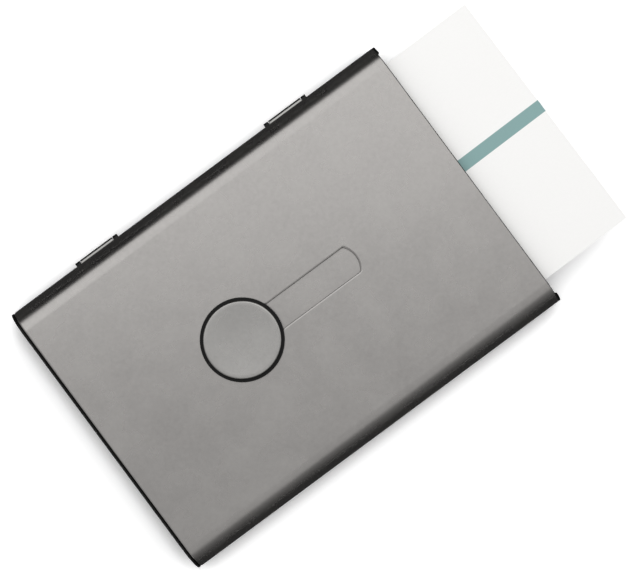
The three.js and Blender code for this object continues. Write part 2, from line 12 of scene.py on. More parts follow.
import bpy
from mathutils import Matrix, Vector


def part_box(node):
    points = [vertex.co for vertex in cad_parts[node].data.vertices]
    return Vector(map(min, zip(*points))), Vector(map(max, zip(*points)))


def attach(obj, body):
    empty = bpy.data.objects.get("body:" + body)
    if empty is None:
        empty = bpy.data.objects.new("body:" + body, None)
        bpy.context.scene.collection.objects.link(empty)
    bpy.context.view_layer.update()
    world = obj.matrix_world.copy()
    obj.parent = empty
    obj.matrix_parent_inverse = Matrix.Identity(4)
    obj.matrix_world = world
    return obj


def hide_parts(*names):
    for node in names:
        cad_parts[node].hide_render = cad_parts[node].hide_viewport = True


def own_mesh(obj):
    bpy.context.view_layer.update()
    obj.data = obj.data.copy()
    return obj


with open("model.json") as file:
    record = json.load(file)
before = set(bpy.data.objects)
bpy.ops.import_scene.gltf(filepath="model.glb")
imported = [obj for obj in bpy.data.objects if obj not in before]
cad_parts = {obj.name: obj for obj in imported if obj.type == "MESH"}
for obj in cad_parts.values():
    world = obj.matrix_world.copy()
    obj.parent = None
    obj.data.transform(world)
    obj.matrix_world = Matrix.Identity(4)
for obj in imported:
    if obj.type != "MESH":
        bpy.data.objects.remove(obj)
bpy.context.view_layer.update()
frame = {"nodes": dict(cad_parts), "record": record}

MM = 0.001
CM = 10 * MM

record = frame["record"]
body_of = {node: body for body, members in record["behaviour"]["bodies"].items() for node in members}
slot_of = {row["node"]: row["material_slot"] for row in record["subparts"]}

# %% [markdown]
# These are the sizes that a maker of the case would know: the sheet, its bend, the slot and the fine edges.
# The slot is a little narrower than in the CAD model, because the picture shows it so. A cutter reaches
# past what it cuts, so that it leaves no skin. The last values say when two places or two directions count
# as the same, and which edges count as sharp.

# %% Sizes of the sheet, the slot and the edges
SHEET = 0.6 * MM
BEND_RADIUS = 5 * MM
BEND_STEPS = 20
SLOT_WIDTH = 6.2 * MM
SLOT_END_RADIUS = 0.76 * SLOT_WIDTH
SLOT_CORNER_RADIUS = 0.125 * SLOT_WIDTH
FIT_GAP = 0.05 * MM
PAST = 1 * MM
FINE_EDGE = 0.07 * MM
EDGE_STEPS = 2
WELD_DISTANCE = 0.001 * MM
SAME_PLACE = 0.01 * MM
SAME_DIRECTION = 0.9
SHARP_ANGLE = math.radians(32)
print("sheet", SHEET / MM, "mm, bend", BEND_RADIUS / MM, "mm")

# %% [markdown]
# Every piece below is shaped with the operators that a person would use by hand. An operator works on all
# that is selected, so each helper first lets go of everything. The helpers pick edges and faces in code, by
# their place and direction, because there is no mouse here.

# %% Helpers: selecting and entering edit mode
def deselect():
    if bpy.context.object and bpy.context.object.mode != "OBJECT":
        bpy.ops.object.mode_set(mode="OBJECT")
    bpy.ops.object.select_all(action="DESELECT")


def take(piece):
    deselect()
    piece.select_set(True)
    bpy.context.view_layer.objects.active = piece


def pick(piece, kind, wanted):
    """Enters edit mode with the chosen edges or faces: wanted gets a middle point and a direction."""
    take(piece)
    mesh = piece.data
    for part in (mesh.vertices, mesh.edges, mesh.polygons):
        part.foreach_set("select", [False] * len(part))
    if kind == "edges":
        for edge in mesh.edges:
            start, end = (mesh.vertices[i].co for i in edge.vertices)
            edge.select = bool(wanted((start + end) / 2, (end - start).normalized()))
    else:
        for face in mesh.polygons:
            face.select = bool(wanted(face.center, face.normal))
    bpy.context.tool_settings.mesh_select_mode = (False, kind == "edges", kind == "faces")
    bpy.ops.object.mode_set(mode="EDIT")


def leave():
    bpy.ops.object.mode_set(mode="OBJECT")


def near(a, b):
    return abs(a - b) < SAME_PLACE


print("selection helpers ready")

# %% [markdown]
# Primitives come in at their size and place. Their place then goes into the mesh, so that every finished
# object sits at the origin as the CAD pieces do. A boolean modifier cuts or joins two solids, and is applied
# at once. Rivet holes are cut at the places of the rivets. The last helper rounds the sharp edges a little,
# because a real edge is never perfectly sharp and always catches some light. Weighted normals keep the large
# flat faces flat in the shading.

# %% Helpers: primitives, cuts and edges
HOLE_SIDES = 48
HOLE_DEPTH = 4 * MM


def settle(name):
    """Names the new primitive and moves its place and size into its mesh."""
    bpy.ops.object.transform_apply(location=True, rotation=True, scale=True)
    piece = bpy.context.object
    piece.name = name
    piece.data.name = name
    return piece


def add_block(name, low, high):
    deselect()
    low, high = Vector(low), Vector(high)
    bpy.ops.mesh.primitive_cube_add(size=1, location=(low + high) / 2, scale=high - low)
    return settle(name)


def add_round(name, radius, middle, depth, sides, along="Z"):
    turns = {"Y": (math.pi / 2, 0, 0), "Z": (0, 0, 0)}
    deselect()
    bpy.ops.mesh.primitive_cylinder_add(
        vertices=sides, radius=radius, depth=depth, location=middle, rotation=turns[along],
    )
    return settle(name)


def apply(piece, modifier):
    take(piece)
    bpy.ops.object.modifier_apply(modifier=modifier.name)


def combine(piece, other, operation):
    """Cuts, joins or intersects piece with another solid, which is then gone."""
    modifier = piece.modifiers.new("combine", "BOOLEAN")
    modifier.operation = operation
    modifier.solver = "EXACT"
    modifier.object = other
    apply(piece, modifier)
    bpy.data.meshes.remove(other.data)


def middle_of(node):
    low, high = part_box(node)
    return (low + high) / 2


def drill(piece, rivets, rivet_radius):
    for rivet in rivets:
        hole = add_round("rivet hole", rivet_radius + FIT_GAP, middle_of(rivet), HOLE_DEPTH, HOLE_SIDES)
        combine(piece, hole, "DIFFERENCE")


def round_edges(piece, width=FINE_EDGE):
    """Rounds every sharp edge, then shades the piece smooth with its flat faces kept flat."""
    bevel = piece.modifiers.new("edges", "BEVEL")
    bevel.width = width
    bevel.segments = EDGE_STEPS
    bevel.limit_method = "ANGLE"
    bevel.angle_limit = SHARP_ANGLE
    bevel.miter_outer = "MITER_ARC"
    bevel.loop_slide = False
    apply(piece, bevel)
    take(piece)
    bpy.ops.object.shade_smooth_by_angle(angle=SHARP_ANGLE)
    weighted = piece.modifiers.new("flat faces", "WEIGHTED_NORMAL")
    weighted.keep_sharp = True
    apply(piece, weighted)
    return piece


print("modelling helpers ready")

# %% [markdown]
# The picture is taken from straight above, and the case lies turned in it. The camera is near enough that the
# lower parts look a little smaller than the front face: the rounded sides draw in towards their ends. The
# width of the view and the point under its middle come from the scale of the front face in the picture,
# 4.851 picture points for each millimetre.

# %% Camera
PICTURE_WIDTH = 640
POINTS_PER_MM = 4.851
CAMERA_HEIGHT = 450 * MM
CASE_TURN = math.radians(36.54)
VIEW_MIDDLE = Vector((7.7 * MM, -1.78 * MM, 0))
SENSOR_WIDTH = 36
NEAREST_SEEN = 0.05
FARTHEST_SEEN = 20
face_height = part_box("front_cover")[1].z

camera_data = bpy.data.cameras.new("camera")
camera = bpy.data.objects.new("camera", camera_data)
bpy.context.scene.collection.objects.link(camera)
field_width = PICTURE_WIDTH / POINTS_PER_MM * MM
camera_data.sensor_width = SENSOR_WIDTH
camera_data.lens = SENSOR_WIDTH * (CAMERA_HEIGHT - face_height) / field_width
camera_data.clip_start = NEAREST_SEEN
camera_data.clip_end = FARTHEST_SEEN
camera.location = VIEW_MIDDLE + Vector((0, 0, CAMERA_HEIGHT))
camera.rotation_euler = (0, 0, -CASE_TURN)
bpy.context.scene.camera = camera
print("camera: lens", round(camera_data.lens, 1), "mm, field", round(field_width / MM, 1), "mm wide")

# %% [markdown]
# Light and finishes are drawn with nodes, and a few helpers write the ones that come up again and again: a
# plain grey, a sum or product, and two ways to turn one range of values into another, softly or evenly.

# %% Helpers: nodes
def grey(level):
    return (level, level, level, 1)


def feed(tree, value, socket):
    """Links the output of a node to a socket, or writes a plain value into it."""
    if isinstance(value, bpy.types.NodeSocket):
        tree.links.new(value, socket)
    else:
        socket.default_value = value


def add_math(tree, operation, first, second=0):
    node = tree.nodes.new("ShaderNodeMath")
    node.operation = operation
    for socket, value in zip(node.inputs, (first, second)):
        feed(tree, value, socket)
    return node.outputs[0]


def add_fade(tree, value, between, levels=(0, 1), curve="SMOOTHSTEP"):
    node = tree.nodes.new("ShaderNodeMapRange")
    node.interpolation_type = curve
    tree.links.new(value, node.inputs["Value"])
    node.inputs["From Min"].default_value, node.inputs["From Max"].default_value = between
    node.inputs["To Min"].default_value, node.inputs["To Max"].default_value = levels
    return node.outputs["Result"]


def stretch(tree, value, between, levels=(0, 1)):
    return add_fade(tree, value, between, levels, curve="LINEAR")


print("node helpers ready")

# %% [markdown]
# Metal has no look of its own: it shows the room. The room here is pale overhead and at both ends of the
# case. Along the two long sides stand screens, as a photographer puts them up, so that the rolled long edges
# turn dark and the shape reads. The far screen, behind the hinges, is black with a sharp edge. The near one
# is grey and darker towards the floor. For the camera itself the room is plain white.

# %% Studio: the room
ROOM_CLOSED_END = 0.64
ROOM_OPEN_END = 1.1
FAR_SCREEN_EDGE = (math.radians(50.5), math.radians(60))
FAR_SCREEN_LEVEL = 0.02
NEAR_SCREEN_EDGE = (math.radians(-55.5), math.radians(-36.5))
NEAR_SCREEN = (math.radians(-95), math.radians(-40))
NEAR_SCREEN_LEVELS = (0.05, 0.48)
SCREEN_ENDS = (math.radians(38), math.radians(60))

bpy.context.scene.view_settings.view_transform = "Standard"
world = bpy.data.worlds.new("studio room")
bpy.context.scene.world = world
world.use_nodes = True
room = world.node_tree
room.nodes.clear()
looking = room.nodes.new("ShaderNodeSeparateXYZ")
room.links.new(room.nodes.new("ShaderNodeTexCoord").outputs["Generated"], looking.inputs["Vector"])
x, y, z = (looking.outputs[axis] for axis in "XYZ")
length_level = add_fade(room, x, (-1, 1), (ROOM_CLOSED_END, ROOM_OPEN_END))
lean = add_math(room, "ARCTAN2", y, z)
far_level = add_fade(room, lean, FAR_SCREEN_EDGE, (1, FAR_SCREEN_LEVEL))
above_screen = add_fade(room, lean, NEAR_SCREEN_EDGE)
near_screen = stretch(room, lean, NEAR_SCREEN, NEAR_SCREEN_LEVELS)
near_level = add_math(room, "MAXIMUM", above_screen, near_screen)
screened = add_math(room, "SUBTRACT", 1, add_math(room, "MULTIPLY", far_level, near_level))
heading = add_math(room, "ARCTAN2", add_math(room, "ABSOLUTE", y), add_math(room, "ABSOLUTE", x))
beside = add_fade(room, heading, SCREEN_ENDS)
open_share = add_math(room, "SUBTRACT", 1, add_math(room, "MULTIPLY", beside, screened))

walls = room.nodes.new("ShaderNodeBackground")
white = room.nodes.new("ShaderNodeBackground")
for light in (walls, white):
    light.inputs["Color"].default_value = grey(1)
rays = room.nodes.new("ShaderNodeLightPath")
seen = room.nodes.new("ShaderNodeMixShader")
output = room.nodes.new("ShaderNodeOutputWorld")
room.links.new(add_math(room, "MULTIPLY", length_level, open_share), walls.inputs["Strength"])
room.links.new(rays.outputs["Is Camera Ray"], seen.inputs["Fac"])
room.links.new(walls.outputs[0], seen.inputs[1])
room.links.new(white.outputs[0], seen.inputs[2])
room.links.new(seen.outputs[0], output.inputs["Surface"])
print("room: closed end", ROOM_CLOSED_END, "open end", ROOM_OPEN_END)

# %% [markdown]
# One wide soft panel hangs over the hinged side, turned a little towards the open end. Its near edge hangs
# just beside the line from the case straight up, so the flat face is brighter on the side below the panel,
# and the hinged side's bend shows the whole panel as a soft highlight.

# %% Studio: the lamp
LAMP_HEADING = math.radians(20.4)
LAMP_TILT = math.radians(27.8)
LAMP_DISTANCE = 0.475
LAMP_WIDTH = 0.707
LAMP_DEPTH = 0.46
LAMP_BRIGHTNESS = 0.85

towards_lamp = Vector((
    math.sin(LAMP_TILT) * math.sin(LAMP_HEADING),
    math.sin(LAMP_TILT) * math.cos(LAMP_HEADING),
    math.cos(LAMP_TILT),
))
lamp_data = bpy.data.lights.new("soft panel", "AREA")
lamp_data.shape = "RECTANGLE"
lamp_data.size = LAMP_WIDTH
lamp_data.size_y = LAMP_DEPTH
lamp_data.energy = LAMP_BRIGHTNESS * math.pi * LAMP_WIDTH * LAMP_DEPTH
lamp = bpy.data.objects.new("soft panel", lamp_data)
bpy.context.scene.collection.objects.link(lamp)
lamp.location = towards_lamp * LAMP_DISTANCE
lamp.rotation_euler = towards_lamp.to_track_quat("Z", "Y").to_euler()
print("lamp at", [round(place, 3) for place in lamp.location], "m,", round(lamp_data.energy, 2), "W")

# %% [markdown]
# The floor is a plain white sheet that keeps the soft shadow of the case. For the camera and in reflections
# it is painted over full white, so that the open floor comes out as clean white. Where the case stands close
# it is painted less white, because the real case has a narrow dark rim of shadow there. An Ambient Occlusion
# node finds that rim: it tells how much a point sees within a few millimetres, and it looks more towards the
# open end, so the rim is wider at the closed end of the case. A black card lies round the case, where only
# the metal sees it: it takes the glare of the floor off the rolled edges.

# %% Floor and black card
FLOOR_SIZE = 8
FLOOR_GAP = 0.05 * MM
FLOOR_WHITE = 1.54
FLOOR_BOUNCE = 0.5
CONTACT_REACH = 4.2 * MM
CONTACT_LEAN = Vector((0.42, -0.06, 1)).normalized()
CONTACT_OPENNESS = (0.3, 1)
CONTACT_WHITE = 0.62
CONTACT_SAMPLES = 4
BLACK_CARD_SIZE = 1.5
BLACK_CARD_LEVEL = 0.066


def add_sheet(name, size, height):
    deselect()
    bpy.ops.mesh.primitive_plane_add(size=size, location=(0, 0, height))
    sheet = settle(name)
    paint = bpy.data.materials.new(name)
    paint.use_nodes = True
    paint.node_tree.nodes.clear()
    sheet.data.materials.append(paint)
    return sheet, paint.node_tree


def add_diffuse(tree, colour):
    node = tree.nodes.new("ShaderNodeBsdfDiffuse")
    feed(tree, colour, node.inputs["Color"])
    return node.outputs[0]


floor, tree = add_sheet("floor", FLOOR_SIZE, -FLOOR_GAP)
nearness = tree.nodes.new("ShaderNodeAmbientOcclusion")
nearness.samples = CONTACT_SAMPLES
nearness.inputs["Distance"].default_value = CONTACT_REACH
look = tree.nodes.new("ShaderNodeCombineXYZ")
for socket, share in zip(look.inputs, CONTACT_LEAN):
    socket.default_value = share
tree.links.new(look.outputs["Vector"], nearness.inputs["Normal"])
floor_level = stretch(tree, nearness.outputs["AO"], CONTACT_OPENNESS, (CONTACT_WHITE, FLOOR_WHITE))
floor_rays = tree.nodes.new("ShaderNodeLightPath")
floor_mix = tree.nodes.new("ShaderNodeMixShader")
floor_output = tree.nodes.new("ShaderNodeOutputMaterial")
shown = floor_rays.outputs["Is Camera Ray"]
for kind in ("Is Glossy Ray", "Is Transmission Ray"):
    shown = add_math(tree, "MAXIMUM", shown, floor_rays.outputs[kind])
tree.links.new(shown, floor_mix.inputs["Fac"])
tree.links.new(add_diffuse(tree, grey(FLOOR_BOUNCE)), floor_mix.inputs[1])
tree.links.new(add_diffuse(tree, floor_level), floor_mix.inputs[2])
tree.links.new(floor_mix.outputs[0], floor_output.inputs["Surface"])

black_card, tree = add_sheet("black card", BLACK_CARD_SIZE, -FLOOR_GAP / 2)
card_output = tree.nodes.new("ShaderNodeOutputMaterial")
tree.links.new(add_diffuse(tree, grey(BLACK_CARD_LEVEL)), card_output.inputs["Surface"])
black_card.visible_camera = False
black_card.visible_diffuse = False
black_card.visible_shadow = False
black_card.visible_transmission = False
print("made", floor.name, "and", black_card.name)

# %% [markdown]
# Several finishes share the same small effects, so each effect is a node group that is built once and placed
# in each material with its own values. The first one is the fine grain of a blasted or moulded surface: tiny
# random bumps, and a soft cloudy drift in tone that keeps a large face from looking like flat paint. The
# second one finds the edges that hands have rubbed bright, from how strongly the surface bends outwards.

# %% Node groups: grain and worn edges
OUTWARD_BEND = (0.53, 0.64)


def new_group(name, inputs, outputs):
    group = bpy.data.node_groups.new(name, "ShaderNodeTree")
    for title, value in inputs.items():
        kind = "NodeSocketVector" if value is None else "NodeSocketFloat"
        socket = group.interface.new_socket(title, in_out="INPUT", socket_type=kind)
        if value is not None:
            socket.default_value = value
    for title in outputs:
        group.interface.new_socket(title, in_out="OUTPUT", socket_type="NodeSocketFloat")
    return group, group.nodes.new("NodeGroupInput"), group.nodes.new("NodeGroupOutput")


def add_noise(tree, place, scale, detail, roughness):
    node = tree.nodes.new("ShaderNodeTexNoise")
    node.inputs["Detail"].default_value = detail
    node.inputs["Roughness"].default_value = roughness
    tree.links.new(place, node.inputs["Vector"])
    feed(tree, scale, node.inputs["Scale"])
    return node.outputs["Fac"]


grain_group, grain_in, grain_out = new_group(
    "surface grain",
    {"Place": None, "Grains per mm": 5, "Clouds per cm": 1.5},
    ["Grain", "Clouds"],
)
grain_scale = add_math(grain_group, "MULTIPLY", grain_in.outputs["Grains per mm"], 1 / MM)
cloud_scale = add_math(grain_group, "MULTIPLY", grain_in.outputs["Clouds per cm"], 1 / CM)
grain = add_noise(grain_group, grain_in.outputs["Place"], grain_scale, detail=3, roughness=0.6)
clouds = add_noise(grain_group, grain_in.outputs["Place"], cloud_scale, detail=3, roughness=0.55)
grain_group.links.new(grain, grain_out.inputs["Grain"])
grain_group.links.new(clouds, grain_out.inputs["Clouds"])

wear_group, wear_in, wear_out = new_group(
    "worn edges",
    {"Place": None, "Amount": 0.5, "Patches per cm": 6},
    ["Wear"],
)
shape = wear_group.nodes.new("ShaderNodeNewGeometry")
bent = add_fade(wear_group, shape.outputs["Pointiness"], OUTWARD_BEND)
patch_scale = add_math(wear_group, "MULTIPLY", wear_in.outputs["Patches per cm"], 1 / CM)
patches = add_noise(wear_group, wear_in.outputs["Place"], patch_scale, detail=4, roughness=0.65)
broken = add_math(wear_group, "MULTIPLY", bent, patches)
wear = add_math(wear_group, "MULTIPLY", broken, wear_in.outputs["Amount"])
wear_group.links.new(wear, wear_out.inputs["Wear"])
print("groups:", [group.name for group in bpy.data.node_groups])

# %% [markdown]
# A finish starts as one Principled shader with its plain values. Small helpers then let a mask that changes
# over the surface drift the colour and the roughness, and turn a grain into a bump. A constant is always
# set on the shader itself, and only what varies reaches it through nodes. Noise seldom leaves its middle
# values, so these are stretched to a full mask.

# %% Helpers: materials
NOISE_REACH = (0.3, 0.7)


def new_finish(name, metallic, roughness):
    material = bpy.data.materials.new(name)
    material.use_nodes = True
    tree = material.node_tree
    shader = tree.nodes["Principled BSDF"]
    shader.inputs["Metallic"].default_value = metallic
    shader.inputs["Roughness"].default_value = roughness
    place = tree.nodes.new("ShaderNodeTexCoord").outputs["Object"]
    return material, tree, shader, place


def add_group(tree, group, place, **values):
    node = tree.nodes.new("ShaderNodeGroup")
    node.node_tree = group
    tree.links.new(place, node.inputs["Place"])
    for title, value in values.items():
        node.inputs[title.replace("_", " ")].default_value = value
    return node


def scaled(tone, share):
    return [value * share for value in tone]


def mix_colour(tree, mask, low, high):
    """A colour that runs from low to high as the mask runs from 0 to 1."""
    node = tree.nodes.new("ShaderNodeMix")
    node.data_type = "RGBA"
    factor, first, second = [socket for socket in node.inputs if socket.enabled][:3]
    tree.links.new(mask, factor)
    for socket, colour in ((first, low), (second, high)):
        feed(tree, colour if isinstance(colour, bpy.types.NodeSocket) else (*colour, 1), socket)
    return next(socket for socket in node.outputs if socket.enabled)


def add_bump(tree, shader, height, depth, strength):
    node = tree.nodes.new("ShaderNodeBump")
    node.inputs["Strength"].default_value = strength
    node.inputs["Distance"].default_value = depth
    tree.links.new(height, node.inputs["Height"])
    tree.links.new(node.outputs["Normal"], shader.inputs["Normal"])


print("material helpers ready")

# %% [markdown]
# The covers and the disc are sheet metal with a satin finish, warm grey and very fine in its grain, like
# metal that was blasted with fine glass beads. A picture of metal would repeat its own marks, so the grain
# is made from noise: it drifts the tone and the roughness a little, and bumps the surface by less than a
# thousandth of a millimetre. The rubbed edges are lighter and smoother.

# %% Satin metal
SATIN_ROUGHNESS = 0.27
SATIN_DRIFT = 0.02
RUBBED_SMOOTHER = -0.12
DARKER, LIGHTER, RUBBED = 0.93, 1.07, 1.3


def satin_finish(name, tone, wear_amount):
    material, tree, shader, place = new_finish(name, 1.0, SATIN_ROUGHNESS)
    surface = add_group(tree, grain_group, place, Grains_per_mm=1.2, Clouds_per_cm=1.2)
    edges = add_group(tree, wear_group, place, Amount=wear_amount, Patches_per_cm=7)
    speckle = stretch(tree, surface.outputs["Grain"], NOISE_REACH)
    cloud = stretch(tree, surface.outputs["Clouds"], NOISE_REACH)
    tone_mask = add_math(tree, "MULTIPLY", add_math(tree, "ADD", speckle, cloud), 0.5)
    base = mix_colour(tree, tone_mask, scaled(tone, DARKER), scaled(tone, LIGHTER))
    worn = mix_colour(tree, edges.outputs["Wear"], base, scaled(tone, RUBBED))
    tree.links.new(worn, shader.inputs["Base Color"])
    drift = stretch(tree, cloud, (0, 1), (SATIN_ROUGHNESS - SATIN_DRIFT, SATIN_ROUGHNESS + SATIN_DRIFT))
    polish = add_math(tree, "MULTIPLY", edges.outputs["Wear"], RUBBED_SMOOTHER)
    tree.links.new(add_math(tree, "ADD", drift, polish), shader.inputs["Roughness"])
    add_bump(tree, shader, surface.outputs["Grain"], depth=0.001 * MM, strength=0.4)
    return material


satin_metal = satin_finish("satin metal", (0.3, 0.29, 0.281), wear_amount=0.5)
disc_metal = satin_finish("disc metal", (0.3, 0.294, 0.285), wear_amount=0.4)
print("made", satin_metal.name, "and", disc_metal.name)

# %% [markdown]
# The front hinge leaves, the pins and the rivets are bright steel, and the springs, their plate and the hook
# are rolled spring steel. The rear hinge leaves are blackened. Rolling draws fine lines along the metal, so
# their noise is stretched along X: a Mapping node makes it long in that direction and fine in the other two.

# %% Bright, blackened and rolled spring steel
LINES_PER_MM = 9
LINE_STRETCH = (0.06, 1, 1)
RUBBED_STEEL = 1.2
SMOOTHER, ROUGHER = 0.8, 1.25


def rolled_finish(name, tone, roughness, line_contrast):
    material, tree, shader, place = new_finish(name, 1.0, roughness)
    along = tree.nodes.new("ShaderNodeMapping")
    along.inputs["Scale"].default_value = LINE_STRETCH
    tree.links.new(place, along.inputs["Vector"])
    lines = add_noise(tree, along.outputs["Vector"], LINES_PER_MM / MM, detail=3, roughness=0.6)
    surface = add_group(tree, grain_group, place, Grains_per_mm=8, Clouds_per_cm=5)
    edges = add_group(tree, wear_group, place, Amount=0.5, Patches_per_cm=12)
    dark, light = scaled(tone, 1 - line_contrast), scaled(tone, 1 + line_contrast)
    base = mix_colour(tree, stretch(tree, lines, NOISE_REACH), dark, light)
    worn = mix_colour(tree, edges.outputs["Wear"], base, scaled(tone, RUBBED_STEEL))
    tree.links.new(worn, shader.inputs["Base Color"])
    levels = (roughness * SMOOTHER, roughness * ROUGHER)
    tree.links.new(stretch(tree, surface.outputs["Clouds"], NOISE_REACH, levels), shader.inputs["Roughness"])
    add_bump(tree, shader, lines, depth=0.003 * MM, strength=0.5)
    return material


polished_steel = rolled_finish("polished steel", (0.27, 0.267, 0.258), 0.24, line_contrast=0.04)
spring_steel = rolled_finish("spring steel", (0.54, 0.535, 0.525), 0.32, line_contrast=0.09)
blackened_steel = rolled_finish("blackened steel", (0.02, 0.02, 0.02), 0.4, line_contrast=0.15)
print("made", polished_steel.name, ",", spring_steel.name, "and", blackened_steel.name)

# %% [markdown]
# The frame inside the case, the base of the button and its neck are moulded in black plastic, half matt. A
# mould leaves a fine grain, fingers leave shinier patches, and edges turn a little grey with use. The plastic
# is deep black, so its shine is kept low.

# %% Black plastic
PLASTIC_ROUGHNESS = 0.42
PLASTIC_TOUCHED = (PLASTIC_ROUGHNESS - 0.07, PLASTIC_ROUGHNESS + 0.08)
PLASTIC_SHINE = 0.12
PLASTIC_BLACK = (0.004, 0.004, 0.004)
PLASTIC_PALER = (0.008, 0.008, 0.0075)
PLASTIC_WORN = (0.05, 0.049, 0.047)

black_plastic, tree, shader, place = new_finish("black plastic", 0.0, PLASTIC_ROUGHNESS)
shader.inputs["Specular IOR Level"].default_value = PLASTIC_SHINE
surface = add_group(tree, grain_group, place, Grains_per_mm=6, Clouds_per_cm=4)
edges = add_group(tree, wear_group, place, Amount=0.6, Patches_per_cm=10)
base = mix_colour(tree, surface.outputs["Clouds"], PLASTIC_BLACK, PLASTIC_PALER)
worn = mix_colour(tree, edges.outputs["Wear"], base, PLASTIC_WORN)
tree.links.new(worn, shader.inputs["Base Color"])
touched = stretch(tree, surface.outputs["Clouds"], NOISE_REACH, PLASTIC_TOUCHED)
tree.links.new(touched, shader.inputs["Roughness"])
add_bump(tree, shader, surface.outputs["Grain"], depth=0.012 * MM, strength=0.6)
print("made", black_plastic.name)

# %% [markdown]
# Business cards are smooth white card stock with a faint fibre. The card that stands out also has one plain
# teal stripe along its length. The stripe is printed, so it is a mask in the material: the card lies a little
# askew, and a Mapping node moves the pattern to the card's middle and turns it with the card.

# %% Card stock, plain and printed
CARD_TURN = math.radians(0.68)
STRIPE_WIDTH = 2.8 * MM
STRIPE_OFFSET = 1.43 * MM
STRIPE_SOFTNESS = 0.05 * MM
STRIPE_TEAL = (0.22, 0.365, 0.36)
PALER_INK = 1.12
PAPER_WHITE = (0.957, 0.952, 0.938)
PAPER_SHADE = 0.975
PAPER_ROUGHNESS = 0.6
PAPER_DRIFT = (0.55, 0.66)
FIBRES_PER_MM = 5
FIBRE_STRETCH = (0.35, 1, 1)
FIBRE_TURN = 0.4


def card_finish(name, striped_card=None):
    material, tree, shader, place = new_finish(name, 0.0, PAPER_ROUGHNESS)
    fibres = tree.nodes.new("ShaderNodeMapping")
    fibres.inputs["Scale"].default_value = FIBRE_STRETCH
    fibres.inputs["Rotation"].default_value = (0, 0, FIBRE_TURN)
    tree.links.new(place, fibres.inputs["Vector"])
    fibre = add_noise(tree, fibres.outputs["Vector"], FIBRES_PER_MM / MM, detail=4, roughness=0.7)
    surface = add_group(tree, grain_group, place, Grains_per_mm=9, Clouds_per_cm=1)
    fibre_mask = stretch(tree, fibre, NOISE_REACH)
    colour = mix_colour(tree, fibre_mask, scaled(PAPER_WHITE, PAPER_SHADE), PAPER_WHITE)
    if striped_card:
        centre = tree.nodes.new("ShaderNodeMapping")
        centre.vector_type = "TEXTURE"
        centre.inputs["Location"].default_value = middle_of(striped_card)
        centre.inputs["Rotation"].default_value = (0, 0, CARD_TURN)
        tree.links.new(place, centre.inputs["Vector"])
        split = tree.nodes.new("ShaderNodeSeparateXYZ")
        tree.links.new(centre.outputs["Vector"], split.inputs["Vector"])
        across = add_math(tree, "SUBTRACT", split.outputs["Y"], STRIPE_OFFSET)
        reach = add_math(tree, "ABSOLUTE", across)
        edge = STRIPE_WIDTH / 2
        ink = stretch(tree, reach, (edge + STRIPE_SOFTNESS, edge - STRIPE_SOFTNESS))
        uneven = mix_colour(tree, surface.outputs["Clouds"], STRIPE_TEAL, scaled(STRIPE_TEAL, PALER_INK))
        colour = mix_colour(tree, ink, colour, uneven)
    tree.links.new(colour, shader.inputs["Base Color"])
    drift = stretch(tree, surface.outputs["Clouds"], NOISE_REACH, PAPER_DRIFT)
    tree.links.new(drift, shader.inputs["Roughness"])
    add_bump(tree, shader, fibre, depth=0.006 * MM, strength=0.5)
    return material


plain_card = card_finish("plain card")
printed_card = card_finish("printed card", "popped_card")
materials = {
    "satin_metal": satin_metal, "disc_metal": disc_metal, "polished_steel": polished_steel,
    "spring_steel": spring_steel, "blackened_steel": blackened_steel, "black_plastic": black_plastic,
    "plain_card": plain_card, "printed_card": printed_card,
}
print("materials:", list(materials))

# %% [markdown]
# A finished piece moves with the body of the CAD node that it stands for, and takes its finish from that
# node's slot. One helper says all of this, so that no piece is left behind when a joint moves.


def corners(piece):
    """The lowest and the highest corner of the box round a piece."""
    return Vector(piece.bound_box[0]), Vector(piece.bound_box[6])


def finish(piece, node):
    slot_name = slot_of[node]
    piece.data.materials.clear()
    piece.data.materials.append(materials[slot_name])
    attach(piece, body_of[node])
    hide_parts(node)
    low, high = corners(piece)
    size = [round(side / MM, 2) for side in high - low]
    print(piece.name, "for", node, "size in mm", size, "faces", len(piece.data.polygons))
    return piece


print("finishing helper ready")

# %% [markdown]
# The slot is an oblong whose ends are shallow arcs with small rounded corners. By hand it is the part that a
# long round-ended bar and a narrower bar share, with the four upright corners bevelled. The same helper
# makes the neck of the button, which runs in the slot.

# %% Helper: an oblong bar
OBLONG_END_STEPS = 48
OBLONG_CORNER_STEPS = 6


def add_oblong(name, low, high):
    middle = (low.y + high.y) / 2
    bar = add_block(name, low, high)
    round_bar = add_block(
        "round ended bar",
        (low.x, middle - SLOT_END_RADIUS, low.z - PAST),
        (high.x, middle + SLOT_END_RADIUS, high.z + PAST),
    )
    pick(round_bar, "edges", lambda place, along: abs(along.z) > SAME_DIRECTION)
    bpy.ops.mesh.bevel(
        offset=SLOT_END_RADIUS, segments=OBLONG_END_STEPS, affect="EDGES", clamp_overlap=False,
    )
    bpy.ops.mesh.remove_doubles(threshold=WELD_DISTANCE)
    leave()
    combine(bar, round_bar, "INTERSECT")
    side = (high.y - low.y) / 2
    pick(bar, "edges", lambda place, along: (
        abs(along.z) > SAME_DIRECTION and near(abs(place.y - middle), side)
    ))
    bpy.ops.mesh.bevel(offset=SLOT_CORNER_RADIUS, segments=OBLONG_CORNER_STEPS, affect="EDGES")
    leave()
    return bar


print("oblong helper ready")

# %% [markdown]
# Each cover is one sheet with its two long sides rolled over. A solid block is the quick start: its two
# long edges are bevelled to the bend, the faces that aren't sheet are deleted, and Solidify gives the rest
# its wall, inwards, so that the outside keeps its size. The outer edges at both ends are where a stamped
# sheet is rounded most, the closed end more than the open one. They are softened before all the others.
# On the hinged side the wall is open round the knuckles of both hinges.

# %% Helpers: a rolled cover
CLOSED_END_EDGE = 0.55 * MM
OPEN_END_EDGE = 0.1 * MM
SOFT_EDGE_STEPS = 4
KNUCKLE_CLEARANCE = 0.2 * MM


